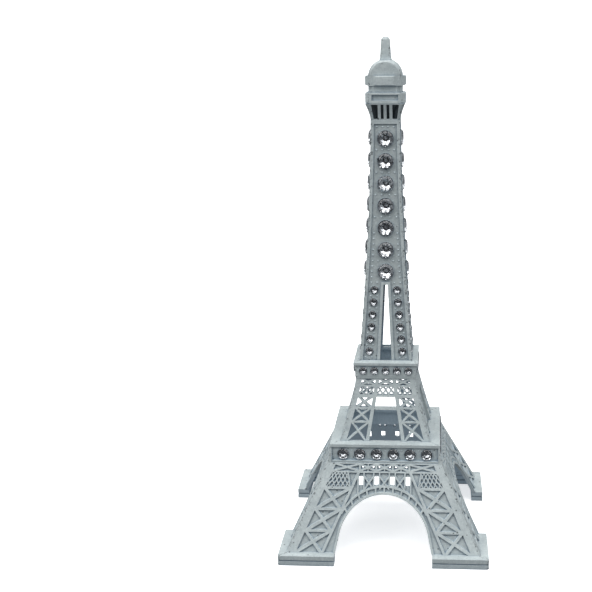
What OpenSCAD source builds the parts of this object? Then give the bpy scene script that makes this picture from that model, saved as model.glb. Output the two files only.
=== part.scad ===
// Souvenir lattice tower: four leaning painted castings per storey, mitred at the corners,
// with glued-in crystal stones, a flared gallery cage, a domed lantern and a square spire.
// Units are millimetres. The tower stands on z = 0 with its axis on Z, its front towards -Y.

/* [Tower] */
// Height from the underside of the feet to the tip of the spire
tower_h = 180; // [172:0.5:188]
// Thickness of the face castings
wall = 1.4; // [1.2:0.1:1.6]
// How far the closed web of the column lies behind its raised rims
web_recess = 0.5; // [0.3:0.1:0.6]
// Gap left for glue in each corner mitre
mitre_gap = 0.02; // [0.01:0.01:0.05]

/* [Feet] */
// Half of the square that the four feet stand in
foot_half = 37; // [36.5:0.1:37.5]
// Height of a foot plate
foot_h = 3.7; // [3.4:0.1:4]
// Length of each arm of a foot plate
foot_arm = 19.8; // [19:0.1:20.5]
// Width of each arm of a foot plate
foot_w = 4.4; // [4.3:0.1:5]

/* [Base storey] */
// Half width of the legs where they leave the feet
leg_half_bottom = 34.2; // [33.8:0.1:34.4]
// Half width of the legs under the first-floor frieze
leg_half_top = 20.45; // [20.35:0.05:20.55]
// Underside of the first-floor frieze
frieze1_z = 32.1; // [32:0.1:32.2]
// Width of the plain strip along each leg corner
leg_strip = 3.2; // [3:0.1:3.5]
// Width of the closed lattice between the corner strip and the inner chord
leg_lattice = 9; // [8.7:0.1:9.2]
// Radius of the arch
arch_r = 16; // [15.6:0.1:16.2]
// Height of the crown of the arch
arch_crown_z = 22.05; // [21.8:0.05:22.2]

/* [First floor] */
// Top of the first-floor ledge
floor1_z = 38.75; // [38.65:0.05:38.85]
// Half width of the first-floor ledge
floor1_half = 19.7; // [19.6:0.1:19.9]
// Thickness of the first-floor ledge
ledge1_t = 1.1; // [1:0.1:1.2]
// Diameter of the first-floor stones
stone1_d = 4; // [3.8:0.1:4.2]
// Spacing of the first-floor stones
stone1_pitch = 6; // [5.8:0.1:6]

/* [Middle storey] */
// Half width of the middle storey where it stands on the first floor
mid_half_bottom = 16.2; // [16:0.1:16.4]
// Half width of the middle storey at its top
mid_half_top = 10.7; // [10.6:0.05:10.8]
// Width of the plain strip along each corner of the middle storey
mid_strip = 2.2; // [2:0.1:2.4]

/* [Second floor] */
// Underside of the second-floor frieze
frieze2_z = 60.7; // [60.6:0.1:60.9]
// Top of the second-floor ledge
floor2_z = 66.7; // [66.6:0.1:66.8]
// Half width of the second-floor ledge
floor2_half = 11.6; // [11.5:0.05:11.7]
// Diameter of the second-floor stones
stone2_d = 2.7; // [2.5:0.1:2.9]
// Spacing of the second-floor stones
stone2_pitch = 4.05; // [3.9:0.05:4.1]

/* [Column] */
// Half width of the column where it stands on the second floor
column_half_bottom = 9.5; // [9.4:0.05:9.6]
// Half width of the column at its neck
column_half_top = 5.1; // [5.05:0.05:5.2]
// How strongly the sides of the column curve
column_curve = 1.65; // [1.6:0.05:1.75]
// Width of the plain strip along each corner of the column
column_strip = 1.15; // [1:0.05:1.2]
// Top of the column
neck_z = 152.3; // [152.2:0.1:152.5]
// Diameter of the large stones
big_stone_d = 5.6; // [5.4:0.05:5.7]
// Number of large stones on each face
big_stones = 7; // [7:1:7]
// Height of the lowest large stone
big_stone_z = 99.2; // [99:0.1:99.4]
// Spacing of the large stones
big_stone_pitch = 7.78; // [7.7:0.01:7.8]
// Diameter of the small paired stones
small_stone_d = 2.75; // [2.5:0.05:2.8]
// Number of pairs of small stones on each face
small_pairs = 6; // [6:1:6]
// Height of the lowest pair
small_stone_z = 70.4; // [70.3:0.1:70.6]
// Spacing of the pairs
small_stone_pitch = 4.46; // [4.4:0.02:4.48]

/* [Top] */
// Underside of the gallery box
gallery_z = 157.8; // [157.7:0.1:157.9]
// Half width of the gallery box
gallery_half = 6.87; // [6.8:0.01:6.9]
// Top of the gallery box
gallery_top_z = 161.5; // [161.4:0.1:161.6]
// Half width of the lantern drum
drum_half = 5.8; // [5.6:0.1:5.9]
// Underside of the lantern collar
collar_z = 163.7; // [163.6:0.1:163.8]
// Half width of the lantern collar
collar_half = 7; // [6.9:0.05:7.1]
// Underside of the dome
dome_z = 167.2; // [167.1:0.1:167.3]
// Half width of the dome
dome_half = 5.8; // [5.7:0.1:5.9]
// Height at which the spire leaves the dome
spire_z = 172.2; // [172.1:0.1:172.3]
// Half width of the spire at its foot
spire_half = 1.85; // [1.8:0.05:1.9]

/* [Hidden] */
$fn = 48;

// Turns that carry a front piece to the other faces
FRONT = 0;
RIGHT = 90;
BACK = 180;
LEFT = 270;

// Depth of the cutting and pattern solids, well past any part of the tower
reach = 60;

// How far crossed bars run on into the strips and chords around them
bar_over = 0.35;

// Feet
foot_groove_h = 0.45;             // groove round the edge of a foot plate
foot_groove_depth = 0.45;
foot_r = 0.9;                     // rounding of the inner and the outer corner

// Base storey
base_web_recess = 0.8;            // how far the closed base web lies behind the bars
leg_bar = 1.0;                    // raised bars of the leg lattice
weave_in = 9;                     // how far in the fine weave ends at its top
weave_bar = 0.38;
weave_edge = 0.5;
row_post = 0.7;                   // bars of the row of small crossed cells
row_bar = 0.6;
row_split = 0.4;
spandrel_gap = 0.5;               // from a slot to the crossed bars beside it
spandrel_drop = [0.6, 0.9];       // how far those bars start below the slots
spandrel_bar = 0.5;
bar_overlap = 0.1;
post_w = 2;
leg_rail = 0.8;                   // level bars between the leg cells
chord_w = 1.0;                    // chord along the inside of a leg
cell_z = [foot_h, 10.5, 17.3, 24];  // borders of the three leg cells
weave_top_z = 28.9;               // top of the fine weave above the leg cells
row_z = [29.4, 31.7];             // row of small crossed cells under the frieze
row_x = [2.95, 8.85];             // posts between the small crossed cells
row_hole_x = [1.75, 4.1, 7.7];    // small holes beside the posts
row_hole_d = 0.95;
arch_z = arch_crown_z - arch_r;   // centre height of the arch
arch_foot_half = 17.2;            // half width of the opening at the feet
arch_a = 16;                      // angle at which the arch runs on into the leg
rib_w = 0.85;                     // lower rib of the arch
upper_rib_r = 17.9;
upper_rib_z = 7.1;
upper_rib_w = 0.7;
upper_rib_a = 30;
strut_step = 10.5;
strut_w = 0.6;
slot_x = [2.8, 8.35];             // open slots in the spandrel
slot_w = 1.6;
slot_z = [24.6, 27.5];
slot_frame = 0.5;

// First floor
frieze1_half = 19.1;
lip1_half = 20.2;
lip1_h = 0.65;
frieze1_inner = 16.9;
deck1_inner = 15.4;
post_top_half = 19.65;            // half width of the corner posts under the ledge
stone1_z = 35.05;
stone1_count = 6;

// Middle storey
mid_cells_z = [45.3, 50.2, 54.1];
mid_row_z = [54.9, 57.6];
mid_top_row_z = [58.3, 60.4];
mid_gap_half = [5.8, 3.35];       // half width of the opening between the legs, below and above
mid_bar = 0.65;
mid_chord = 1.25;
mid_weave = 0.38;                 // bars of the fine crossed row

// Second floor
frieze2_half = 11.0;
lip2_half = 10.9;
lip2_h = 0.75;
ledge2_t = 1.0;
kerb2_h = 0.5;                    // sloping kerb around the foot of the column
frieze2_inner = 9.2;
deck2_inner = 7.9;
stone2_z = 63.75;
stone2_count = 5;

// Column
panel_top_z = 150.9;              // top of the recessed panel
slit_top_z = 94.6;
slit_half = [2.15, 0.75];         // half width of the slit, below and above
slit_rim = 0.95;
slit_cap = 1.0;                   // height of the rim over the slit
small_stone_x = [5.9, 4.0];       // how far out the lowest and the highest pair sit

// Stones: a pointed pavilion, a round girdle, a sloping crown and a flat table, each stone
// in a conical seat with a slim raised rim
seat_wall = 0.15;
seat_rise = 0.3;
seat_root = 0.2;                  // how far a seat's ring starts inside the wall
seat_lift = 0.1;                  // how far the girdle starts in front of the wall
pavilion = 0.36;                  // pavilion depth as a share of the diameter
culet = 0.06;                     // diameter of the pavilion's blunt tip, as a share
girdle = 0.14;                    // girdle height as a share of the diameter
crown = 0.11;                     // crown height as a share of the diameter
table = 0.68;                     // table diameter as a share of the diameter
seat_fit = 0.02;

// Top
box_chamfer = 2.2;
box_panel_half = 4.6;             // recessed panel of the gallery box
box_panel_z = 1.1;
box_panel_h = 1.9;
box_panel_depth = 0.8;
bars_x = [0, 2];                  // slim bars of the gallery cage
cage_bar = 1.0;
cage_slot_half = [4.1, 4.8];      // how far out the slots of the cage reach, below and above
cage_ring = 0.3;                  // closed rings below and above the slots
cage_wall = 1.1;
core_gap = 1.3;
fin_t = 0.9;
fin_gap = 0.55;
dome_rise = 5.45;
dome_chamfer = 0.9;
block_half = [4.4, 3];            // half width of a collar block at its root and at its front
lip_root = 0.5;                   // how far the lip starts inside the first frieze
lip2_slope = 0.15;
block_root = 0.5;                 // how far a block starts inside the collar
block_cut = 0.35;                 // slope below a block
block_edge = 0.3;
block_gap = 0.05;                 // between a block's top and the dome's foot
box_edge = 0.15;                  // bevel along the gallery box's lower and upper edge
drum_chamfer = 1.8;
cage_chamfer = 0.8;
spire_flare = 0.25;
spire_flare_h = 1.0;
spire_point_h = 0.8;
spire_point = 0.55;               // how much narrower the tip is than the spire below it
spire_tip_half = 1.45;

// ---------- shared functions ----------

function lerp(a, b, t) = a + (b - a) * t;

function arc(centre_z, r, from, to, step = 4) =
    let (n = ceil(abs(to - from) / step))
    [for (i = [0:n]) let (a = lerp(from, to, i / n)) [r * cos(a), centre_z + r * sin(a)]];

function reversed(list) = [for (i = [len(list) - 1:-1:0]) list[i]];

function steps(from, to, n) = [for (i = [0:n]) lerp(from, to, i / n)];

// Half width of each storey at height z
function leg_half(z) =
    z <= frieze1_z
        ? lerp(leg_half_bottom, leg_half_top, (z - foot_h) / (frieze1_z - foot_h))
        : lerp(leg_half_top, post_top_half, (z - frieze1_z) / (floor1_z - ledge1_t - frieze1_z));

function mid_half(z) =
    let (t = (frieze2_z - z) / (frieze2_z - floor1_z))
    mid_half_top + (mid_half_bottom - mid_half_top) * pow(max(t, 0), 1.15);

function column_half(z) =
    let (t = (neck_z - z) / (neck_z - floor2_z))
    column_half_top + (column_half_bottom - column_half_top) * pow(max(t, 0), column_curve);

function cage_half(z) =
    let (t = (z - neck_z) / (gallery_z - neck_z))
    lerp(column_half_top, gallery_half, pow(max(t, 0), 1.5));

// Outward lean of a wall at height z, in degrees
function lean(half_at, z) = atan((half_at(z - 0.5) - half_at(z + 0.5)) / 1);

// ---------- shared modules ----------

module on_face(turn)
    rotate([0, 0, turn])
        children();

// A wall that follows half_at(z), between two depths behind its outer surface
module wall_slab(half_at, heights, front, back) {
    outer = [for (z = heights) [front - half_at(z), z]];
    inner = [for (z = reversed(heights)) [back - half_at(z), z]];
    rotate([90, 0, 90])
        linear_extrude(2 * reach, center = true)
            polygon(concat(outer, inner));
}

// Front quarter of the tower, between the two corner mitres
module mitre()
    linear_extrude(tower_h)
        polygon([[0, -mitre_gap], [reach, -reach - mitre_gap], [-reach, -reach - mitre_gap]]);

// Carries a pattern drawn in X and Z through the front of the tower
module through_front()
    rotate([90, 0, 0])
        linear_extrude(reach)
            children();

module both_sides() {
    children();
    mirror([1, 0])
        children();
}

// A straight flat bar between two points, run on a little past both of them
module bar(a, b, w, over = 0) {
    d = (b - a) / norm(b - a);
    n = [-d[1], d[0]] * w / 2;
    from = a - d * over;
    to = b + d * over;
    polygon([from + n, to + n, to - n, from - n]);
}

// A point in a four-sided cell, from its low inner corner
function in_cell(c, u, v) = lerp(lerp(c[0], c[1], u), lerp(c[3], c[2], u), v);

// Crossed bars in each of the columns and rows of a four-sided cell
module crossed(c, columns, rows, w)
    for (i = [0:columns - 1])
        for (j = [0:rows - 1]) {
            u = [i / columns, (i + 1) / columns];
            v = [j / rows, (j + 1) / rows];
            bar(in_cell(c, u[0], v[0]), in_cell(c, u[1], v[1]), w, bar_over);
            bar(in_cell(c, u[1], v[0]), in_cell(c, u[0], v[1]), w, bar_over);
        }

// Places a stone or a seat on a wall, its axis square to the wall
module at_wall(half_at, x, z, depth = 0)
    translate([x, -half_at(z), z])
        rotate([90 - lean(half_at, z), 0, 0])
            translate([0, 0, -depth])
                children();

module stone(d) {
    translate([0, 0, -pavilion * d])
        cylinder(h = pavilion * d, d1 = culet * d, d2 = d);
    cylinder(h = girdle * d, d = d);
    translate([0, 0, girdle * d])
        cylinder(h = crown * d, d1 = d, d2 = table * d);
}

module seat_ring(d)
    cylinder(h = seat_rise + seat_root, d = d + 2 * (seat_fit + seat_wall));

module seat_bore(d) {
    translate([0, 0, -pavilion * d - seat_fit])
        cylinder(h = pavilion * d + seat_fit, d1 = culet * d + 2 * seat_fit, d2 = d + 2 * seat_fit);
    cylinder(h = 6, d = d + 2 * seat_fit);
}

// A square body whose half width at each height is given by points of [half, z]
module square_body(profile) {
    outline = concat(profile, [for (p = reversed(profile)) [-p[0], p[1]]]);
    intersection() {
        rotate([90, 0, 0])
            linear_extrude(2 * reach, center = true)
                polygon(outline);
        rotate([90, 0, 90])
            linear_extrude(2 * reach, center = true)
                polygon(outline);
    }
}

// The same body with its four corners cut back by the given amount on each side
module chamfered_body(profile, chamfer) {
    diagonal = [for (p = profile) [(2 * p[0] - chamfer) / sqrt(2), p[1]]];
    intersection() {
        square_body(profile);
        rotate([0, 0, 45])
            square_body(diagonal);
    }
}

// ---------- feet ----------

module foot_outline(inset) {
    far = foot_half - inset;
    near = foot_half - foot_w + inset;
    end = foot_half - foot_arm + inset;
    r = foot_r;
    difference() {
        union() {
            translate([-far, -far])
                square([far - end, far - near]);
            translate([-far, -far])
                square([far - near, far - end]);
            translate([-near, -near])
                square(r);
        }
        translate([-near + r, -near + r])
            circle(r);
        difference() {
            translate([-far - r, -far - r])
                square(2 * r);
            translate([-far + r, -far + r])
                circle(r);
        }
    }
}

module foot(turn)
    color([0.68, 0.72, 0.73])
        on_face(turn) {
            low = foot_h / 2 - foot_groove_h / 2;
            high = foot_h / 2 + foot_groove_h / 2;
            linear_extrude(low)
                foot_outline(0);
            translate([0, 0, low])
                linear_extrude(high - low)
                    foot_outline(foot_groove_depth);
            translate([0, 0, high])
                linear_extrude(foot_h - high)
                    foot_outline(0);
        }

// ---------- base storey ----------

// A point on a leg, measured in from its corner
function leg_at(z, in) = [leg_half(z) - in, z];

lattice_in = leg_strip + leg_lattice;

module leg_cell(z0, z1) {
    cell = [leg_at(z0, leg_strip), leg_at(z0, lattice_in), leg_at(z1, lattice_in), leg_at(z1, leg_strip)];
    crossed(cell, 1, 1, leg_bar);
    polygon([leg_at(z1 - leg_rail / 2, leg_strip - bar_over), leg_at(z1 + leg_rail / 2, leg_strip - bar_over),
             leg_at(z1 + leg_rail / 2, lattice_in + bar_over), leg_at(z1 - leg_rail / 2, lattice_in + bar_over)]);
}

function arch_outline(grow) =
    concat([[arch_foot_half + grow, foot_h - 1]],
           arc(arch_z, arch_r + grow, arch_a, 180 - arch_a),
           [[-arch_foot_half - grow, foot_h - 1]]);

// Height of the outer edge of the upper rib, x away from the middle
function upper_rib_top(x) = upper_rib_z + sqrt(pow(upper_rib_r, 2) - pow(x, 2));

module ring_between(outer, inner)
    polygon(concat(outer, reversed(inner)));

module arch_ribs() {
    ring_between(arch_outline(rib_w), arch_outline(0));
    ring_between(arc(upper_rib_z, upper_rib_r, upper_rib_a, 180 - upper_rib_a),
                 arc(upper_rib_z, upper_rib_r - upper_rib_w, upper_rib_a, 180 - upper_rib_a));
    for (a = [90 - 5 * strut_step:strut_step:90 + 5 * strut_step]) {
        low = [(arch_r + rib_w / 2) * cos(a), arch_z + (arch_r + rib_w / 2) * sin(a)];
        high = [(upper_rib_r - upper_rib_w / 2) * cos(a), upper_rib_z + (upper_rib_r - upper_rib_w / 2) * sin(a)];
        bar(low, high, strut_w);
    }
}

module base_bars() {
    inner = slot_x[0] + slot_w / 2 + spandrel_gap;
    outer = slot_x[1] - slot_w / 2 - spandrel_gap;
    middle_in = slot_x[0] - slot_w / 2 - spandrel_gap;
    both_sides() {
        // corner strip, and the post beside the frieze
        polygon([leg_at(foot_h, -2), leg_at(frieze1_z, -2), leg_at(frieze1_z, leg_strip), leg_at(foot_h, leg_strip)]);
        translate([frieze1_half + mitre_gap, frieze1_z - bar_overlap])
            square([post_w, floor1_z - ledge1_t - frieze1_z + bar_overlap]);
        // inner chord
        polygon([leg_at(foot_h, lattice_in), leg_at(weave_top_z, lattice_in),
                 leg_at(weave_top_z, lattice_in + chord_w), leg_at(foot_h, lattice_in + chord_w)]);
        for (i = [0:2])
            leg_cell(cell_z[i], cell_z[i + 1]);
        // fine weave over the leg cells
        crossed([leg_at(cell_z[3], leg_strip), leg_at(cell_z[3], lattice_in),
                 leg_at(weave_top_z, weave_in), leg_at(weave_top_z, leg_strip)], 5, 2, weave_bar);
        bar(leg_at(cell_z[3], lattice_in), leg_at(weave_top_z, weave_in), weave_edge);
        // row of small crossed cells
        for (x = row_x)
            bar([x, weave_top_z], [x, frieze1_z], row_post);
        crossed([[row_x[0], row_z[0]], [row_x[1], row_z[0]], [row_x[1], row_z[1]], [row_x[0], row_z[1]]],
                1, 1, row_bar);
        crossed([[row_x[1], row_z[0]], leg_at(row_z[0], leg_strip),
                 leg_at(row_z[1], leg_strip), [row_x[1], row_z[1]]], 1, 1, row_bar);
        bar([(row_x[0] + row_x[1]) / 2, weave_top_z], [(row_x[0] + row_x[1]) / 2, frieze1_z], row_split);
        // spandrel frames beside the slots, and the crossed bars between them
        for (middle = slot_x, side = [-1, 1]) {
            x = middle + side * (slot_w + slot_frame) / 2;
            bar([x, upper_rib_top(x) - upper_rib_w / 2], [x, weave_top_z + bar_overlap], slot_frame);
        }
        crossed([[inner, slot_z[0] - spandrel_drop[0]], [outer, slot_z[0] - spandrel_drop[1]],
                 [outer, slot_z[1]], [inner, slot_z[1]]], 1, 1, spandrel_bar);
    }
    crossed([[-middle_in, slot_z[0] - spandrel_drop[0]], [middle_in, slot_z[0] - spandrel_drop[0]],
             [middle_in, slot_z[1]], [-middle_in, slot_z[1]]], 1, 1, spandrel_bar);
    crossed([[-row_x[0], row_z[0]], [row_x[0], row_z[0]], [row_x[0], row_z[1]], [-row_x[0], row_z[1]]], 1, 1, row_bar);
    bar([0, weave_top_z], [0, frieze1_z], row_split);
    // chords below and above the row
    bar([-leg_half(row_z[0]), (weave_top_z + row_z[0]) / 2], [leg_half(row_z[0]), (weave_top_z + row_z[0]) / 2],
        row_z[0] - weave_top_z);
    bar([-leg_half(row_z[1]), (row_z[1] + frieze1_z) / 2], [leg_half(row_z[1]), (row_z[1] + frieze1_z) / 2],
        frieze1_z - row_z[1]);
    arch_ribs();
}

module base_web()
    difference() {
        polygon([leg_at(foot_h, -2), leg_at(frieze1_z, -2),
                 [-leg_half(frieze1_z) - 2, frieze1_z], [-leg_half(foot_h) - 2, foot_h]]);
        polygon(arch_outline(0));
        both_sides() {
            for (x = slot_x)
                translate([x - slot_w / 2, slot_z[0]])
                    square([slot_w, slot_z[1] - slot_z[0]]);
            for (x = row_hole_x)
                translate([x, (row_z[0] + row_z[1]) / 2])
                    circle(d = row_hole_d);
        }
    }

module base_panel(turn)
    color([0.68, 0.72, 0.73])
        on_face(turn)
            difference() {
                union() {
                    intersection() {
                        wall_slab(function(z) leg_half(z), [foot_h, frieze1_z, floor1_z - ledge1_t], 0, wall);
                        mitre();
                        through_front()
                            base_bars();
                    }
                    intersection() {
                        wall_slab(function(z) leg_half(z), [foot_h, frieze1_z], base_web_recess, wall);
                        mitre();
                        through_front()
                            base_web();
                    }
                }
                translate([-frieze1_half - mitre_gap, -frieze1_half - mitre_gap, frieze1_z])
                    cube([2 * (frieze1_half + mitre_gap), 2 * (frieze1_half + mitre_gap), floor1_z]);
            }

// ---------- first floor ----------

function stone1_x(i) = (i - (stone1_count - 1) / 2) * stone1_pitch;

function frieze1(z) = frieze1_half;

module first_floor(turn)
    color([0.64, 0.68, 0.7])
        on_face(turn)
            difference() {
                union() {
                    intersection() {
                        mitre();
                        rotate([90, 0, 90])
                            linear_extrude(2 * reach, center = true)
                                polygon([
                                    [-frieze1_half, frieze1_z],
                                    [-frieze1_half, floor1_z - ledge1_t],
                                    [-floor1_half, floor1_z - ledge1_t],
                                    [-floor1_half, floor1_z],
                                    [-deck1_inner, floor1_z],
                                    [-deck1_inner, floor1_z - ledge1_t],
                                    [-frieze1_inner, floor1_z - ledge1_t],
                                    [-frieze1_inner, frieze1_z]
                                ]);
                    }
                    // lip between the corner posts
                    translate([-frieze1_half, -lip1_half, frieze1_z])
                        cube([2 * frieze1_half, lip1_half - frieze1_half + lip_root, lip1_h]);
                    for (i = [0:stone1_count - 1])
                        at_wall(function(z) frieze1(z), stone1_x(i), stone1_z, seat_root)
                            seat_ring(stone1_d);
                }
                for (i = [0:stone1_count - 1])
                    at_wall(function(z) frieze1(z), stone1_x(i), stone1_z, -seat_lift)
                        seat_bore(stone1_d);
            }

module floor1_stones(turn)
    color([0.86, 0.89, 0.92])
        on_face(turn)
            for (i = [0:stone1_count - 1])
                at_wall(function(z) frieze1(z), stone1_x(i), stone1_z, -seat_lift)
                    stone(stone1_d);

// ---------- middle storey ----------

function mid_at(z, in) = [mid_half(z) - in, z];

function mid_gap(z) =
    lerp(mid_gap_half[0], mid_gap_half[1], (z - floor1_z) / (mid_cells_z[2] - floor1_z));

module mid_cell(z0, z1) {
    cell = [mid_at(z0, mid_strip), [mid_gap(z0) + mid_chord, z0],
            [mid_gap(z1) + mid_chord, z1], mid_at(z1, mid_strip)];
    crossed(cell, 1, 1, mid_bar);
    polygon([[mid_gap(z1) + mid_chord / 2, z1 - mid_bar / 2], mid_at(z1 - mid_bar / 2, mid_strip / 2),
             mid_at(z1 + mid_bar / 2, mid_strip / 2), [mid_gap(z1) + mid_chord / 2, z1 + mid_bar / 2]]);
}

// Crossed bars in the side cells and in the centre cell of one row
module mid_row(z0, z1, columns, w) {
    both_sides()
        crossed([[mid_gap(z0) + mid_chord, z0], mid_at(z0, mid_strip),
                 mid_at(z1, mid_strip), [mid_gap(z1) + mid_chord, z1]], columns, 1, w);
    crossed([[-mid_gap(z0), z0], [mid_gap(z0), z0], [mid_gap(z1), z1], [-mid_gap(z1), z1]], columns, 1, w);
}

module mid_chord_line(z0, z1)
    translate([-mid_half(z0), z0])
        square([2 * mid_half(z0), z1 - z0]);

// Corner strips, chords and level bands
module mid_frame() {
    levels = steps(floor1_z, frieze2_z, 10);
    both_sides() {
        polygon(concat([for (z = levels) mid_at(z, -2)], [for (z = reversed(levels)) mid_at(z, mid_strip)]));
        polygon([[mid_gap(floor1_z), floor1_z], [mid_gap(floor1_z) + mid_chord, floor1_z],
                 [mid_gap(frieze2_z) + mid_chord, frieze2_z], [mid_gap(frieze2_z), frieze2_z]]);
    }
    mid_chord_line(mid_cells_z[2], mid_row_z[0]);
    mid_chord_line(mid_row_z[1], mid_top_row_z[0]);
    mid_chord_line(mid_top_row_z[1], frieze2_z);
}

// Crossed bars between them
module mid_crosses() {
    both_sides() {
        mid_cell(floor1_z, mid_cells_z[0]);
        mid_cell(mid_cells_z[0], mid_cells_z[1]);
        mid_cell(mid_cells_z[1], mid_cells_z[2]);
    }
    mid_row(mid_row_z[0], mid_row_z[1], 3, mid_weave);
    mid_row(mid_top_row_z[0], mid_top_row_z[1], 1, mid_bar);
}

module middle_panel(turn)
    color([0.68, 0.72, 0.73])
        on_face(turn)
            intersection() {
                wall_slab(function(z) mid_half(z), steps(floor1_z, frieze2_z, 6), 0, wall);
                mitre();
                union() {
                    through_front()
                        mid_frame();
                    through_front()
                        mid_crosses();
                }
            }

// ---------- second floor ----------

function stone2_x(i) = (i - (stone2_count - 1) / 2) * stone2_pitch;

function frieze2(z) = frieze2_half;

module second_floor(turn)
    color([0.64, 0.68, 0.7])
        on_face(turn)
            difference() {
                union() {
                    intersection() {
                        mitre();
                        rotate([90, 0, 90])
                            linear_extrude(2 * reach, center = true)
                                polygon([
                                    [-lip2_half, frieze2_z],
                                    [-lip2_half, frieze2_z + lip2_h - lip2_slope],
                                    [-frieze2_half, frieze2_z + lip2_h],
                                    [-frieze2_half, floor2_z - ledge2_t],
                                    [-floor2_half, floor2_z - ledge2_t],
                                    [-floor2_half, floor2_z],
                                    [-column_half_bottom - mitre_gap, floor2_z + kerb2_h],
                                    [-column_half_bottom - mitre_gap, floor2_z],
                                    [-deck2_inner, floor2_z],
                                    [-deck2_inner, floor2_z - ledge2_t],
                                    [-frieze2_inner, floor2_z - ledge2_t],
                                    [-frieze2_inner, frieze2_z]
                                ]);
                    }
                    for (i = [0:stone2_count - 1])
                        at_wall(function(z) frieze2(z), stone2_x(i), stone2_z, seat_root)
                            seat_ring(stone2_d);
                }
                for (i = [0:stone2_count - 1])
                    at_wall(function(z) frieze2(z), stone2_x(i), stone2_z, -seat_lift)
                        seat_bore(stone2_d);
            }

module floor2_stones(turn)
    color([0.86, 0.89, 0.92])
        on_face(turn)
            for (i = [0:stone2_count - 1])
                at_wall(function(z) frieze2(z), stone2_x(i), stone2_z, -seat_lift)
                    stone(stone2_d);

// ---------- column ----------

function column_at(z, in) = [column_half(z) - in, z];

function slit(z) = lerp(slit_half[0], slit_half[1], (z - floor2_z) / (slit_top_z - floor2_z));

function big_z(i) = big_stone_z + i * big_stone_pitch;

function small_z(i) = small_stone_z + i * small_stone_pitch;

function small_x(i) = lerp(small_stone_x[0], small_stone_x[1], i / (small_pairs - 1));

module column_bars() {
    levels = steps(floor2_z, neck_z, 16);
    both_sides() {
        polygon(concat([for (z = levels) column_at(z, -2)],
                       [for (z = reversed(levels)) column_at(z, column_strip)]));
        // rim of the slit
        polygon([[slit(floor2_z), floor2_z], [slit(floor2_z) + slit_rim, floor2_z],
                 [slit(slit_top_z) + slit_rim, slit_top_z], [slit(slit_top_z), slit_top_z]]);
    }
    // rim over the slit, and the plain band at the neck
    translate([-slit(slit_top_z) - slit_rim, slit_top_z])
        square([2 * (slit(slit_top_z) + slit_rim), slit_cap]);
    translate([-reach, panel_top_z])
        square([2 * reach, neck_z - panel_top_z]);
}

module column_web()
    difference() {
        translate([-reach, floor2_z])
            square([2 * reach, neck_z - floor2_z]);
        polygon([[-slit(floor2_z), floor2_z - 1], [slit(floor2_z), floor2_z - 1],
                 [slit(slit_top_z), slit_top_z], [-slit(slit_top_z), slit_top_z]]);
    }

module at_column_stones(depth) {
    for (i = [0:big_stones - 1])
        at_wall(function(z) column_half(z), 0, big_z(i), depth)
            children(0);
    for (i = [0:small_pairs - 1], side = [-1, 1])
        at_wall(function(z) column_half(z), side * small_x(i), small_z(i), depth)
            children(1);
}

module column_panel(turn)
    color([0.68, 0.72, 0.73])
        on_face(turn)
            difference() {
                union() {
                    intersection() {
                        wall_slab(function(z) column_half(z), steps(floor2_z, neck_z, 14), 0, wall);
                        mitre();
                        through_front()
                            column_bars();
                    }
                    intersection() {
                        wall_slab(function(z) column_half(z), steps(floor2_z, neck_z, 14), web_recess, wall);
                        mitre();
                        through_front()
                            column_web();
                    }
                    at_column_stones(web_recess + seat_root) {
                        seat_ring(big_stone_d);
                        seat_ring(small_stone_d);
                    }
                }
                at_column_stones(web_recess - seat_lift) {
                    seat_bore(big_stone_d);
                    seat_bore(small_stone_d);
                }
            }

module small_stones(turn)
    color([0.86, 0.89, 0.92])
        on_face(turn)
            for (i = [0:small_pairs - 1], side = [-1, 1])
                at_wall(function(z) column_half(z), side * small_x(i), small_z(i), web_recess - seat_lift)
                    stone(small_stone_d);

module large_stones(turn)
    color([0.86, 0.89, 0.92])
        on_face(turn)
            for (i = [0:big_stones - 1])
                at_wall(function(z) column_half(z), 0, big_z(i), web_recess - seat_lift)
                    stone(big_stone_d);

// ---------- gallery and lantern ----------

// Dark core with a fin towards each corner of the cage
module gallery_core() {
    levels = steps(neck_z, gallery_z, 5);
    fins = [for (z = levels) [sqrt(2) * (cage_half(z) - cage_wall) - fin_gap, z]];
    color([0.4, 0.43, 0.45])
        union() {
            square_body([for (z = levels) [cage_half(z) - cage_wall - core_gap, z]]);
            for (turn = [45, 135])
                rotate([90, 0, turn])
                    linear_extrude(fin_t, center = true)
                        polygon(concat(fins, [for (p = reversed(fins)) [-p[0], p[1]]]));
        }
}

module gallery_cage() {
    levels = steps(neck_z, gallery_z, 5);
    low = neck_z + cage_ring;
    high = gallery_z - cage_ring;
    color([0.68, 0.72, 0.73])
        difference() {
            chamfered_body([for (z = levels) [cage_half(z), z]], cage_chamfer);
            square_body(concat([[cage_half(neck_z) - cage_wall, neck_z - 1]],
                               [for (z = levels) [cage_half(z) - cage_wall, z]],
                               [[cage_half(gallery_z) - cage_wall, gallery_z + 1]]));
            for (turn = [FRONT, RIGHT, BACK, LEFT])
                on_face(turn)
                    through_front()
                        both_sides() {
                            translate([bars_x[0] + cage_bar / 2, low])
                                square([bars_x[1] - bars_x[0] - cage_bar, high - low]);
                            polygon([[bars_x[1] + cage_bar / 2, low], [cage_slot_half[0], low],
                                     [cage_slot_half[1], high], [bars_x[1] + cage_bar / 2, high]]);
                        }
        }
}

module gallery_box()
    color([0.68, 0.72, 0.73])
        difference() {
            chamfered_body([[gallery_half - box_edge, gallery_z], [gallery_half, gallery_z + box_edge],
                            [gallery_half, gallery_top_z - box_edge],
                            [gallery_half - box_edge, gallery_top_z]],
                           box_chamfer);
            for (turn = [FRONT, RIGHT, BACK, LEFT])
                on_face(turn)
                    translate([-box_panel_half, -gallery_half - 1, gallery_z + box_panel_z])
                        cube([2 * box_panel_half, 1 + box_panel_depth, box_panel_h]);
        }

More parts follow.
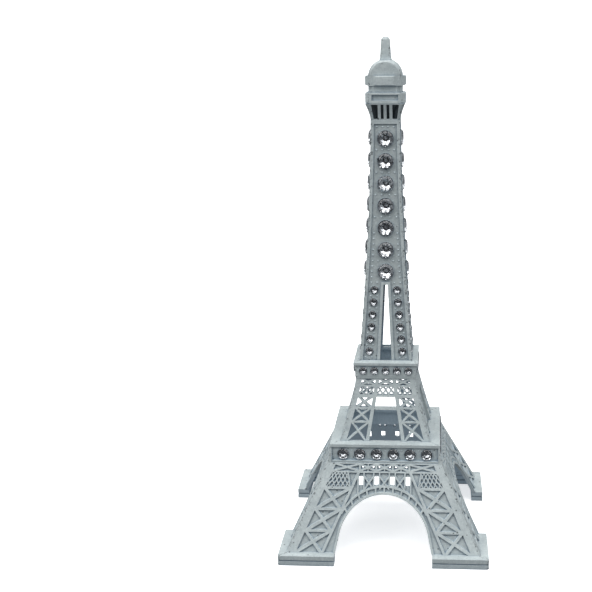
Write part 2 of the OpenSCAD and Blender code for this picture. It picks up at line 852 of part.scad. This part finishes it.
module lantern_drum()
    color([0.66, 0.7, 0.71])
        chamfered_body([[drum_half, gallery_top_z], [drum_half, collar_z]], drum_chamfer);

// Collar with a block on each face that narrows outwards and is cut back below
module lantern_collar()
    color([0.68, 0.72, 0.73])
        union() {
            chamfered_body([[drum_half, collar_z], [drum_half, dome_z]], dome_chamfer);
            for (turn = [FRONT, RIGHT, BACK, LEFT])
                on_face(turn)
                    intersection() {
                        translate([0, 0, collar_z])
                            linear_extrude(dome_z - collar_z)
                                polygon([[-block_half[0], block_root - drum_half], [-block_half[0], -drum_half],
                                         [-block_half[1], -collar_half], [block_half[1], -collar_half],
                                         [block_half[0], -drum_half], [block_half[0], block_root - drum_half]]);
                        rotate([90, 0, 90])
                            linear_extrude(2 * reach, center = true)
                                polygon([[block_root - drum_half, collar_z], [-drum_half, collar_z],
                                         [-collar_half, collar_z + block_cut],
                                         [-collar_half, dome_z - block_edge],
                                         [block_edge - collar_half, dome_z - block_gap],
                                         [block_root - drum_half, dome_z - block_gap]]);
                    }
        }

// One vault from front to back, whose two arched ends are cut back all round
module lantern_dome() {
    r = (pow(dome_half, 2) + pow(dome_rise, 2)) / (2 * dome_rise);
    color([0.7, 0.74, 0.75])
        intersection() {
            translate([0, 0, dome_z + dome_rise - r])
                rotate([90, 0, 0]) {
                    cylinder(h = 2 * (dome_half - dome_chamfer), r = r, center = true, $fn = 72);
                    for (end = [0, 180])
                        rotate([end, 0, 0])
                            translate([0, 0, dome_half - dome_chamfer])
                                cylinder(h = dome_chamfer, r1 = r, r2 = r - dome_chamfer, $fn = 72);
                }
            translate([-reach, -reach, dome_z])
                cube([2 * reach, 2 * reach, spire_z - dome_z]);
        }
}

module spire()
    color([0.68, 0.72, 0.73])
        square_body([[spire_half + spire_flare, spire_z], [spire_half, spire_z + spire_flare_h],
                     [spire_tip_half, tower_h - spire_point_h], [spire_tip_half - spire_point, tower_h]]);

// ---------- assembly ----------

foot(FRONT);  // foot_front_left
foot(RIGHT);  // foot_front_right
foot(BACK);  // foot_back_right
foot(LEFT);  // foot_back_left
base_panel(FRONT);  // base_panel_front
base_panel(RIGHT);  // base_panel_right
base_panel(BACK);  // base_panel_back
base_panel(LEFT);  // base_panel_left
first_floor(FRONT);  // first_floor_front
first_floor(RIGHT);  // first_floor_right
first_floor(BACK);  // first_floor_back
first_floor(LEFT);  // first_floor_left
middle_panel(FRONT);  // middle_panel_front
middle_panel(RIGHT);  // middle_panel_right
middle_panel(BACK);  // middle_panel_back
middle_panel(LEFT);  // middle_panel_left
second_floor(FRONT);  // second_floor_front
second_floor(RIGHT);  // second_floor_right
second_floor(BACK);  // second_floor_back
second_floor(LEFT);  // second_floor_left
column_panel(FRONT);  // column_panel_front
column_panel(RIGHT);  // column_panel_right
column_panel(BACK);  // column_panel_back
column_panel(LEFT);  // column_panel_left
gallery_core();
gallery_cage();
gallery_box();
lantern_drum();
lantern_collar();
lantern_dome();
spire();
floor1_stones(FRONT);  // floor1_stones_front
floor1_stones(RIGHT);  // floor1_stones_right
floor1_stones(BACK);  // floor1_stones_back
floor1_stones(LEFT);  // floor1_stones_left
floor2_stones(FRONT);  // floor2_stones_front
floor2_stones(RIGHT);  // floor2_stones_right
floor2_stones(BACK);  // floor2_stones_back
floor2_stones(LEFT);  // floor2_stones_left
small_stones(FRONT);  // small_stones_front
small_stones(RIGHT);  // small_stones_right
small_stones(BACK);  // small_stones_back
small_stones(LEFT);  // small_stones_left
large_stones(FRONT);  // big_stones_front
large_stones(RIGHT);  // big_stones_right
large_stones(BACK);  // big_stones_back
large_stones(LEFT);  // big_stones_left
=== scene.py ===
"""Looks of a painted die-cast souvenir tower set with cut crystal stones. Lengths are in metres."""
import math
import random

import bmesh
import bpy
import numpy as np
from mathutils import Matrix, Vector
from mathutils.bvhtree import BVHTree


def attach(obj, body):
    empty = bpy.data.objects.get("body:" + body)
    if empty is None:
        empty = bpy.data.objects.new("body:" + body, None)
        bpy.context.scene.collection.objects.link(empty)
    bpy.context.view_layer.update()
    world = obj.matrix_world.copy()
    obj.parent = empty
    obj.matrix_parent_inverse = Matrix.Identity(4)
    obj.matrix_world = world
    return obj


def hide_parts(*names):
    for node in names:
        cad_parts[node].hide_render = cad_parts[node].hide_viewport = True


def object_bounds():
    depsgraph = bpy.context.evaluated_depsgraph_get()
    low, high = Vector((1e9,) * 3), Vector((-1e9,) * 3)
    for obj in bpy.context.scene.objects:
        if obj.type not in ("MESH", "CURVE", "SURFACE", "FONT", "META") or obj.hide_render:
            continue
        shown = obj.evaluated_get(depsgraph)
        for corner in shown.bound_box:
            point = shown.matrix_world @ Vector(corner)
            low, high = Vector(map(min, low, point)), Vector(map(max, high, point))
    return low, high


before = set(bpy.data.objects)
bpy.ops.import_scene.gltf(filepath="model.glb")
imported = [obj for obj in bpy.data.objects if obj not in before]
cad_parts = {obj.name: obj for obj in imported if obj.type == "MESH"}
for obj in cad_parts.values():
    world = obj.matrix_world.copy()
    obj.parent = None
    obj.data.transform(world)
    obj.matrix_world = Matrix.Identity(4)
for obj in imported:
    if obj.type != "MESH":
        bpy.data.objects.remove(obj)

MM = 0.001
FACES = ("front", "right", "back", "left")
SIDES = (-1, 1)
cad_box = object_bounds()
rng = random.Random(12)
scene = bpy.context.scene


def add_piece(name, bm, *materials):
    """An object made from bm, whose faces keep their material numbers."""
    mesh = bpy.data.meshes.new(name)
    bm.to_mesh(mesh)
    bm.free()
    for material in materials:
        mesh.materials.append(material)
    piece = bpy.data.objects.new(name, mesh)
    scene.collection.objects.link(piece)
    return piece


# ---------- node helpers ----------

class Shader:
    """A short way to add nodes to a material and join them."""

    def __init__(self, name):
        self.material = bpy.data.materials.new(name)
        self.material.use_nodes = True
        self.tree = self.material.node_tree
        self.surface = self.tree.nodes["Principled BSDF"]

    def add(self, kind, inputs=None, **settings):
        made = self.tree.nodes.new("ShaderNode" + kind)
        for key, value in settings.items():
            setattr(made, key, value)
        for key, value in (inputs or {}).items():
            self.put(made.inputs[key], value)
        return made

    def put(self, socket, value):
        if isinstance(value, bpy.types.NodeSocket):
            self.tree.links.new(value, socket)
        else:
            socket.default_value = value

    def math(self, operation, *values):
        made = self.add("Math", operation=operation)
        for socket, value in zip(made.inputs, values):
            self.put(socket, value)
        return made.outputs[0]

    def ramp(self, value, low, high, to_low=0.0, to_high=1.0):
        """A smooth step of value between low and high."""
        made = self.add("MapRange", interpolation_type="SMOOTHSTEP")
        for key, number in (("Value", value), ("From Min", low), ("From Max", high),
                            ("To Min", to_low), ("To Max", to_high)):
            self.put(made.inputs[key], number)
        return made.outputs[0]

    def mix(self, factor, a, b):
        made = self.add("Mix", data_type="RGBA")
        for socket, value in ((made.inputs[0], factor), (made.inputs[6], a), (made.inputs[7], b)):
            self.put(socket, value)
        return made.outputs[2]

    def noise(self, grain, detail=3.0, roughness=0.5):
        """Noise whose lumps are about grain metres across."""
        made = self.add("TexNoise", {"Scale": 1 / grain, "Detail": detail, "Roughness": roughness,
                                     "Vector": self.place})
        return made.outputs[0]

    @property
    def place(self):
        if not hasattr(self, "_coordinates"):
            self._coordinates = self.add("TexCoord")
        return self._coordinates.outputs["Object"]


def grey(r, g, b, depth=1.0):
    """A colour for a socket, darker or paler by depth."""
    return (r * depth, g * depth, b * depth, 1.0)


# ---------- materials ----------

PAINT = (0.43, 0.485, 0.49)
PAINT_PALE = (0.51, 0.565, 0.565)
PAINT_STAIN = (0.31, 0.35, 0.375)
PAINT_DUST = (0.68, 0.73, 0.73)
# painted highlight, with some real rubbing: pale paint along the outer edges
PAINT_RUBBED_AND_HIGHLIT = (0.78, 0.83, 0.83)      # along the outer edges
# painted shade in corners and seats
PAINT_CORNER_SHADE = (0.105, 0.14, 0.18)       # in corners and seats
# painted shade: a bluish tint in the hollows
PAINT_HOLLOW_SHADE = (0.40, 0.52, 0.62)      # between raised parts
# painted light: a paler, bluer colour for the inner walls
PAINT_INSIDE_LIGHTENED = (0.58, 0.70, 0.79)      # on the broad inner walls
BARE_METAL = (0.022, 0.027, 0.034)     # dark zinc in pores, pits and chips


def speckle(s, spacing, size, share):
    """Round specks up to `size` in radius, in a `share` of cells that are about `spacing` across."""
    cells = s.add("TexVoronoi", {"Scale": 1 / spacing, "Vector": s.place})
    parts = s.add("SeparateColor", {"Color": cells.outputs["Color"]})
    chosen = s.math("LESS_THAN", parts.outputs[0], share)
    radius = s.math("MULTIPLY", parts.outputs[1], size / spacing)
    past_rim = s.math("SUBTRACT", cells.outputs["Distance"], radius)
    inside = s.ramp(past_rim, -0.5 * size / spacing, 0.0, 1.0, 0.0)
    return s.math("MULTIPLY", chosen, inside)


def painted_casting(name, depth=1.0):
    """Matte grey enamel on a rough zinc casting: pores, painted shade in corners and hollows, rubbed edges
    with a painted highlight, paler painted light on the inner walls, chips at the mitres.
    """
    s = Shader(name)
    cloud = s.noise(5 * MM, detail=4.0)
    mottle = s.noise(0.9 * MM, detail=4.0, roughness=0.6)
    grain = s.noise(0.45 * MM, roughness=0.7)
    # nearness to the corner mitres, where |x| = |y|
    split = s.add("SeparateXYZ", {"Vector": s.place})
    from_mitre = s.math("ABSOLUTE", s.math("SUBTRACT", s.math("ABSOLUTE", split.outputs[0]),
                                           s.math("ABSOLUTE", split.outputs[1])))
    at_mitre = s.ramp(from_mitre, 0.2 * MM, 1.1 * MM, 1.0, 0.0)
    # pores, pits and chips, where the dark zinc shows
    share = s.ramp(s.noise(7 * MM, detail=2.0), 0.45, 0.75, 0.03, 0.17)
    share = s.math("ADD", share, s.math("MULTIPLY", at_mitre, 0.3))
    pores = speckle(s, spacing=0.85 * MM, size=0.2 * MM, share=share)
    pits = speckle(s, spacing=1.7 * MM, size=0.46 * MM, share=0.6)
    flakes = s.noise(0.8 * MM, detail=4.0, roughness=0.7)
    chips = s.math("MULTIPLY", s.ramp(flakes, 0.54, 0.62), at_mitre)
    dark = s.math("MAXIMUM", s.math("MULTIPLY", pores, 0.8), s.math("MULTIPLY", chips, 0.8))
    dark = s.math("MAXIMUM", dark, s.math("MULTIPLY", pits, 0.75))
    # painted shade in corners and seats, and a bluish painted shade in the hollows, both from ambient
    # occlusion
    near = s.add("AmbientOcclusion", {"Distance": 0.9 * MM}, samples=8)
    wide = s.add("AmbientOcclusion", {"Distance": 5.0 * MM}, samples=8)
    corner_shade = s.ramp(near.outputs["AO"], 0.35, 0.95, 1.0, 0.0)
    hollow_shade = s.ramp(wide.outputs["AO"], 0.15, 0.9, 1.0, 0.0)
    # paint rubbed paler along the outer edges, with a painted highlight there too
    rounded = s.add("Bevel", {"Radius": 0.25 * MM}, samples=4)
    plain = s.add("NewGeometry")
    bend = s.add("VectorMath", {0: rounded.outputs[0], 1: plain.outputs["Normal"]}, operation="DOT_PRODUCT")
    edge_wear_and_highlight = s.math("MULTIPLY", s.ramp(bend.outputs["Value"], 0.75, 0.97, 1.0, 0.0),
                     s.ramp(near.outputs["AO"], 0.6, 0.95))
    # painted light: the broad inner walls, which look at the tower's axis, are coloured paler and bluer than
    # the outer paint
    level = s.add("VectorMath", {0: s.place, 1: (1, 1, 0)}, operation="MULTIPLY")
    outwards = s.add("VectorMath", {0: level.outputs[0]}, operation="NORMALIZE")
    looks = s.add("VectorMath", {0: outwards.outputs[0], 1: plain.outputs["Normal"]}, operation="DOT_PRODUCT")
    inside = s.math("MULTIPLY", s.ramp(looks.outputs["Value"], -0.6, -0.3, 0.85, 0.0),
                    s.ramp(near.outputs["AO"], 0.6, 0.9))
    # the coats, from the plain paint up to the bare metal, with painted light and shade mixed in among them
    colour = s.mix(s.ramp(cloud, 0.35, 0.7), grey(*PAINT, depth), grey(*PAINT_PALE, depth))
    colour = s.mix(s.ramp(mottle, 0.42, 0.68, 0.0, 0.45), colour, grey(*PAINT_STAIN, depth))
    colour = s.mix(s.ramp(grain, 0.48, 0.68, 0.0, 0.45), colour, grey(*PAINT_DUST, depth))
    # painted light: the inner walls that face the axis turn paler and bluer
    colour = s.mix(inside, colour, grey(*PAINT_INSIDE_LIGHTENED, min(depth, 1.0)))
    # painted shade in corners and seats
    colour = s.mix(s.math("MULTIPLY", corner_shade, 0.7), colour, grey(*PAINT_CORNER_SHADE, depth))
    # painted shade: a bluish tint in the hollows between raised parts
    colour = s.mix(s.math("MULTIPLY", hollow_shade, 0.5), colour, grey(*PAINT_HOLLOW_SHADE, depth))
    # painted highlight along the outer edges, partly real rubbed paint
    colour = s.mix(s.math("MULTIPLY", edge_wear_and_highlight, 0.5), colour, grey(*PAINT_RUBBED_AND_HIGHLIT, depth))
    colour = s.mix(dark, colour, grey(*BARE_METAL))
    s.put(s.surface.inputs["Base Color"], colour)
    s.put(s.surface.inputs["Roughness"], s.ramp(mottle, 0.3, 0.7, 0.46, 0.62))
    s.surface.inputs["Specular IOR Level"].default_value = 0.4
    height = s.math("ADD", s.math("MULTIPLY", cloud, 0.35 * MM), s.math("MULTIPLY", mottle, 0.14 * MM))
    height = s.math("ADD", height, s.math("MULTIPLY", grain, 0.04 * MM))
    height = s.math("SUBTRACT", height, s.math("MULTIPLY", dark, 0.09 * MM))
    bump = s.add("Bump", {"Strength": 0.8, "Distance": 1.0, "Height": height})
    s.put(s.surface.inputs["Normal"], bump.outputs[0])
    return s.material


def cut_crystal():
    """Clear glass with the faintest cloudiness."""
    s = Shader("cut_crystal")
    s.surface.inputs["Transmission Weight"].default_value = 1.0
    s.surface.inputs["IOR"].default_value = 1.56
    s.put(s.surface.inputs["Base Color"], s.mix(s.noise(1.5 * MM), grey(0.93, 0.95, 0.97), grey(1, 1, 1)))
    s.put(s.surface.inputs["Roughness"], s.ramp(s.noise(0.6 * MM), 0.5, 0.8, 0.0, 0.03))
    return s.material


def silvered_foil():
    """Silvering on the back of a stone, seen through it; each facet holds it more or less evenly."""
    s = Shader("silvered_foil")
    s.surface.inputs["Metallic"].default_value = 1.0
    facet = s.add("Attribute", attribute_name="silver").outputs["Fac"]
    tone = s.math("ADD", facet, s.math("MULTIPLY", s.noise(1.2 * MM), 0.1))
    s.put(s.surface.inputs["Base Color"], s.mix(tone, grey(0.16, 0.17, 0.19), grey(0.97, 0.98, 0.99)))
    s.put(s.surface.inputs["Roughness"], s.ramp(s.noise(0.4 * MM), 0.35, 0.75, 0.03, 0.12))
    return s.material


def pale_floor():
    s = Shader("pale_floor")
    colour = s.mix(s.noise(0.05, 2.0), grey(0.93, 0.93, 0.93), grey(0.96, 0.96, 0.96))
    s.put(s.surface.inputs["Base Color"], colour)
    s.surface.inputs["Roughness"].default_value = 0.9
    s.surface.inputs["Emission Color"].default_value = grey(1, 1, 1)
    s.surface.inputs["Emission Strength"].default_value = 0.6
    return s.material


paint = painted_casting("painted_casting")
# painted highlight: the beads get a copy of the paint 1.2 times as bright
highlit_bead_paint = painted_casting("highlit_bead_paint", 1.2)
# painted shade: a copy of the paint at 0.87 of the brightness, for the recessed webs
recess_shade_paint = painted_casting("recess_shade_paint", 0.87)
# painted shadow: a copy of the paint at 0.22 of the brightness, for the gallery core
shaded_paint = painted_casting("shaded_paint", 0.22)
crystal = cut_crystal()
foil = silvered_foil()


# ---------- castings: the CAD nodes, with the soft edges of a casting under paint ----------

def soften(obj, width):
    """Rounds the edges of a CAD node with modifiers alone."""
    weld = obj.modifiers.new("weld", "WELD")
    weld.merge_threshold = 2e-6
    edge = obj.modifiers.new("edge", "BEVEL")
    edge.width = width
    edge.segments = 2
    edge.limit_method = "ANGLE"
    edge.angle_limit = math.radians(28)
    edge.use_clamp_overlap = False
    edge.harden_normals = True
    edge.miter_outer = "MITER_SHARP"
    normals = obj.modifiers.new("normals", "WEIGHTED_NORMAL")
    normals.keep_sharp = True


def outward(face):
    """The way a face of the tower looks, level with the ground."""
    turn = FACES.index(face) * math.pi / 2
    return Vector((math.sin(turn), -math.cos(turn), 0))


def shade_recess_webs(obj, face, depth):
    """Painted shade: darker paint on the webs that lie behind the raised bars and strips of a panel."""
    mesh = obj.data
    out = outward(face)
    reach = np.array([v.co.dot(out) for v in mesh.vertices])
    height = np.array([v.co.z for v in mesh.vertices])
    side = np.array([abs(v.co.cross(out).z) for v in mesh.vertices])
    # the outer surface at each height, read along the corner strips
    corner_strip = 0.4 * MM
    edge = side > reach - corner_strip
    levels = np.unique(height[edge].round(6))
    surface = [reach[edge & (abs(height - level) < 1e-5)].max() for level in levels]
    for part in mesh.polygons:
        corners = list(part.vertices)
        behind = np.interp(height[corners], levels, surface) - reach[corners]
        faces_out = part.normal.dot(out) > 0.7
        if faces_out and behind.min() > depth:
            part.material_index = 1


for name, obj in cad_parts.items():
    if "stones" in name:
        continue
    obj.data.materials.clear()
    # painted shadow: the gallery core, seen through the cage slots, gets the very dark copy of the paint
    obj.data.materials.append(shaded_paint if name == "gallery_core" else paint)
    stage, _, face = name.rpartition("_")
    if stage in ("base_panel", "column_panel"):
        # painted shade on the webs recessed behind the bars
        obj.data.materials.append(recess_shade_paint)
        shade_recess_webs(obj, face, 0.35 * MM)
    soften(obj, 0.08 * MM)


# ---------- stones ----------

def islands(bm):
    """The separate solids of a mesh, each as a list of its vertices."""
    seen = set()
    found = []
    for start in bm.verts:
        if start in seen:
            continue
        seen.add(start)
        stack = [start]
        group = [start]
        while stack:
            for edge in stack.pop().link_edges:
                for vert in edge.verts:
                    if vert not in seen:
                        seen.add(vert)
                        stack.append(vert)
                        group.append(vert)
        found.append(group)
    return found


def across(point, face):
    """Sideways place on a face, to the right when the face is looked at."""
    turn = FACES.index(face) * math.pi / 2
    return point.x * math.cos(turn) + point.y * math.sin(turn)


def read_stones(node):
    """The stones of a CAD node, row by row: middle at the girdle, outward axis and levels."""
    face = node.rpartition("_")[2]
    bm = bmesh.new()
    bm.from_mesh(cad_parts[node].data)
    bmesh.ops.remove_doubles(bm, verts=bm.verts, dist=2e-6)
    stones = []
    for group in islands(bm):
        # the flat table is the largest patch that faces one way
        patches = {}
        for part in dict.fromkeys(f for v in group for f in v.link_faces):
            facing = tuple(round(n, 2) for n in part.normal)
            patches.setdefault(facing, []).append(part)
        table = max(patches.values(), key=lambda faces: sum(f.calc_area() for f in faces))
        axis = max(table, key=lambda f: f.calc_area()).normal.copy()
        rim = dict.fromkeys(v for f in table for v in f.verts)
        middle = sum((v.co for v in rim), Vector()) / len(rim)
        points = np.array([v.co - middle for v in group])
        along = points @ np.array(axis)
        off_axis = np.linalg.norm(points - np.outer(along, np.array(axis)), axis=1)
        radius = float(off_axis.max())
        girdle = along[off_axis > 0.98 * radius]
        low = float(girdle.min())
        stones.append({"middle": middle + axis * low, "axis": axis, "radius": radius,
                       "girdle": float(girdle.max()) - low, "table": -low, "culet": float(along.min()) - low})
    bm.free()
    # height counts far more than the place across, so no last digit of either can swap two stones
    return sorted(stones, key=lambda s: 100 * s["middle"].z + across(s["middle"], face))


def around(radius, turn, height):
    """A point given as radius, angle and height."""
    return Vector((radius * math.cos(turn), radius * math.sin(turn), height))


def brilliant(bm, stone):
    """A round brilliant: table, 8 stars, 8 kites, 16 upper halves, girdle, 16 lower halves, 8 mains."""
    seat_play = 0.995
    r = stone["radius"] * seat_play
    rim, top, low = stone["girdle"], stone["table"], stone["culet"]
    table_r, star_r, lower_r = 0.68 * r, 0.84 * r, 0.35 * r
    half = math.pi / 8
    crown_slope = (top - rim) / (r - table_r)
    star_z = top - crown_slope * (star_r * math.cos(half) - table_r)
    lower_z = low - low / r * lower_r * math.cos(half)
    x = stone["axis"].cross(Vector((0, 0, 1))).normalized()
    y = stone["axis"].cross(x)
    place = Matrix((x, y, stone["axis"])).transposed()

    def ring(radius, start, height, count=8):
        points = [around(radius, start + i * 2 * math.pi / count, height) for i in range(count)]
        return [bm.verts.new(stone["middle"] + place @ point) for point in points]

    table = ring(table_r, 0, top)
    star = ring(star_r, half, star_z)
    upper = ring(r, 0, rim, 16)
    under = ring(r, 0, 0.0, 16)
    lower = ring(lower_r, half, lower_z)
    tip = bm.verts.new(stone["middle"] + stone["axis"] * low)
    glass = [table]
    mirror = []
    for i in range(8):
        j = (i + 1) % 8
        k = (2 * i + 2) % 16
        glass += [(table[i], table[j], star[i]), (table[i], star[i], upper[2 * i], star[i - 1]),
                  (star[i], upper[2 * i], upper[2 * i + 1]), (star[i], upper[2 * i + 1], upper[k])]
        mirror += [(tip, lower[i], under[2 * i], lower[i - 1]),
                   (lower[i], under[2 * i + 1], under[2 * i]), (lower[i], under[k], under[2 * i + 1])]
    for i in range(16):
        glass.append((upper[i], under[i], under[(i + 1) % 16], upper[(i + 1) % 16]))
    for index, faces in enumerate((glass, mirror)):
        for corners in faces:
            bm.faces.new(corners).material_index = index


def set_stones(node, dullest, brightest):
    """Cut stones in place of a CAD node's plain ones. Each facet's silvering gets its own brightness."""
    bm = bmesh.new()
    for stone in read_stones(node):
        brilliant(bm, stone)
    bmesh.ops.recalc_face_normals(bm, faces=bm.faces)
    piece = add_piece("cut_" + node, bm, crystal, foil)
    silver = piece.data.attributes.new("silver", "FLOAT", "FACE")
    silver.data.foreach_set("value", [rng.uniform(dullest, brightest) for _ in piece.data.polygons])
    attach(piece, "root")
    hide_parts(node)


for group, dullest, brightest in (("floor1_stones", 0.24, 0.4), ("floor2_stones", 0.22, 0.45),
                                  ("small_stones", 0.15, 0.6), ("big_stones", 0.12, 1.0)):
    for face in FACES:
        set_stones(f"{group}_{face}", dullest, brightest)


# ---------- beads: rows of tiny domes cast into the panels ----------

def bead_shape(bm, place, radius):
    """A low dome whose skirt sinks into the casting."""
    sides = 10
    rise = 0.8 * radius
    rings = []
    for tilt in (100, 65, 30):
        a = math.radians(tilt)
        points = [around(radius * math.sin(a), 2 * math.pi * i / sides, rise * math.cos(a))
                  for i in range(sides)]
        rings.append([bm.verts.new(place @ point) for point in points])
    tip = bm.verts.new(place @ Vector((0, 0, rise)))
    for i in range(sides):
        j = (i + 1) % sides
        for low, high in zip(rings, rings[1:]):
            bm.faces.new((low[i], low[j], high[j], high[i]))
        bm.faces.new((rings[-1][i], rings[-1][j], tip))


def column_beads(face):
    """Places of the beads on one column panel, seen from the front, as (across, up)."""
    big = sorted(read_stones("big_stones_" + face), key=lambda s: s["middle"].z)
    small = sorted(read_stones("small_stones_" + face), key=lambda s: s["middle"].z)
    pitch = big[1]["middle"].z - big[0]["middle"].z
    top, low = big[-1]["middle"].z, big[0]["middle"].z
    places = []
    # rows of four above the large stones and between the upper ones
    for i in range(5):
        up = top + (0.52 if i == 0 else 0.5 - i) * pitch
        outer = edge_run(up)
        inner = 0.95 * MM + 0.12 * MM * i
        places += [(side * x, up) for x in (inner, outer) for side in SIDES]
    # pairs above and below the lowest large stone
    places += [(side * 2.7 * MM, low + 0.5 * pitch) for side in SIDES]
    places += [(side * 3.1 * MM, low - 0.5 * pitch) for side in SIDES]
    # runs along the edges, upwards from the head of the slit
    for i in range(10):
        up = low - 0.5 * pitch + i * 1.96 * MM
        places += [(side * edge_run(up), up) for side in SIDES]
    # a pair below each small stone
    rows = sorted({round(s["middle"].z, 5) for s in small})
    step = rows[1] - rows[0]
    reach = [max(abs(across(s["middle"], face)) for s in small if abs(s["middle"].z - z) < 0.1 * MM)
             for z in rows]
    lean = 0.5 * (reach[0] - reach[1])
    for out, z in zip(reach, rows):
        spot = out + lean
        places += [(side * (spot + off * 1.12 * MM), z - 0.5 * step) for side in SIDES for off in SIDES]
    return places


def edge_run(up):
    """How far out the side runs of beads lie at a height."""
    heights = [v * MM for v in (95.3, 103.2, 110.9, 118.6, 126.5, 134.3, 142.0, 150.1)]
    outs = [v * MM for v in (5.15, 4.65, 4.22, 3.85, 3.45, 3.18, 3.08, 2.92)]
    return float(np.interp(up, heights, outs))


def frieze_beads(node, face, rise):
    """One bead between each two neighbouring frieze stones, near the top."""
    spots = sorted((across(s["middle"], face), s["middle"].z) for s in read_stones(node))
    return [((a[0] + b[0]) / 2, a[1] + rise) for a, b in zip(spots, spots[1:])]


def cast_beads(name, node, face, places, radius):
    """Beads on the outer surface of a node, wherever a level line from outside meets it."""
    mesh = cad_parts[node].data
    tree = BVHTree.FromPolygons([v.co for v in mesh.vertices], [p.vertices for p in mesh.polygons])
    turn = Matrix.Rotation(FACES.index(face) * math.pi / 2, 3, "Z")
    clear_of_tower = 100 * MM
    bm = bmesh.new()
    for sideways, up in places:
        start = turn @ Vector((sideways, -clear_of_tower, up))
        spot, normal, _, _ = tree.ray_cast(start, turn @ Vector((0, 1, 0)))
        x = normal.cross(Vector((0, 0, 1))).normalized()
        place = Matrix((x, normal.cross(x), normal)).transposed().to_4x4()
        bead_shape(bm, Matrix.Translation(spot) @ place, radius)
    bmesh.ops.recalc_face_normals(bm, faces=bm.faces)
    for part in bm.faces:
        part.smooth = True
    # the beads wear the paler copy of the paint, a painted highlight
    piece = add_piece(name, bm, highlit_bead_paint)
    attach(piece, "root")


for face in FACES:
    cast_beads("beads_column_" + face, "column_panel_" + face, face, column_beads(face), 0.35 * MM)
    cast_beads("beads_floor1_" + face, "first_floor_" + face, face,
               frieze_beads("floor1_stones_" + face, face, 1.3 * MM), 0.3 * MM)
    cast_beads("beads_floor2_" + face, "second_floor_" + face, face,
               frieze_beads("floor2_stones_" + face, face, 0.9 * MM), 0.25 * MM)


# ---------- stage ----------

def sweep():
    """A pale floor that curves up into a backdrop far behind the tower."""
    bm = bmesh.new()
    low = cad_box[0][2]
    near, far, bend_r, wall_h, half_w = -2.5, 1.2, 0.8, 3.0, 3.0
    turns = [math.radians(6 * i) for i in range(1, 15)]
    path = [(near, low), (far, low)]
    path += [(far + bend_r * math.sin(a), low + bend_r * (1 - math.cos(a))) for a in turns]
    path += [(far + bend_r, low + wall_h)]
    rows = [[bm.verts.new((side * half_w, y, z)) for side in SIDES] for y, z in path]
    for a, b in zip(rows, rows[1:]):
        bm.faces.new((a[0], a[1], b[1], b[0])).smooth = True
    floor = add_piece("floor", bm, pale_floor())
    floor.visible_diffuse = False
    floor.visible_glossy = False
    floor.visible_transmission = False


def area_light(name, place, aim, width, height, power):
    light = bpy.data.lights.new(name, "AREA")
    light.shape = "RECTANGLE"
    light.size = width
    light.size_y = height
    light.energy = power
    obj = bpy.data.objects.new(name, light)
    scene.collection.objects.link(obj)
    obj.location = place
    obj.rotation_euler = (Vector(aim) - Vector(place)).to_track_quat("-Z", "Y").to_euler()


def studio():
    """Soft light: a large panel overhead, two in front, and one for the backdrop."""
    world = bpy.data.worlds.new("studio")
    scene.world = world
    world.use_nodes = True
    back = world.node_tree.nodes["Background"]
    back.inputs["Color"].default_value = (0.90, 0.95, 1.0, 1)
    back.inputs["Strength"].default_value = 0.27
    middle = (0, 0, cad_box[1][2] / 2)
    area_light("key", (-0.75, -0.60, 0.75), middle, 0.6, 0.7, 3.8)
    area_light("fill", (0.80, -0.60, 0.70), middle, 0.5, 0.7, 2.2)
    area_light("top", (0.0, -0.22, 1.15), middle, 1.7, 1.2, 15.0)
    area_light("backdrop", (0.0, 0.9, 1.6), (0, 1.9, 0.4), 2.0, 0.6, 25.0)


def camera():
    """Stands a little right of the tower, level with its tip, and looks down at it."""
    data = bpy.data.cameras.new("camera")
    obj = bpy.data.objects.new("camera", data)
    scene.collection.objects.link(obj)
    scene.camera = obj
    pitch, roll, yaw = math.radians(14.12), math.radians(3.12), math.radians(-0.33)
    level = Matrix(((1, 0, 0), (0, 0, -1), (0, 1, 0)))
    turn = (Matrix.Rotation(yaw, 3, "Z") @ Matrix.Rotation(pitch, 3, "X")
            @ Matrix.Rotation(roll, 3, "Y") @ level)
    pose = Matrix((turn[0], -turn[1], -turn[2])).transposed().to_4x4()
    pose.translation = Vector((17.85, -353.24, 178.31)) * MM
    obj.matrix_world = pose
    data.sensor_width = 36
    data.lens = 60.99
    data.shift_x = -0.1468
    data.shift_y = -0.0032
    data.clip_start = 0.01


sweep()
studio()
camera()
scene.view_settings.view_transform = "Standard"
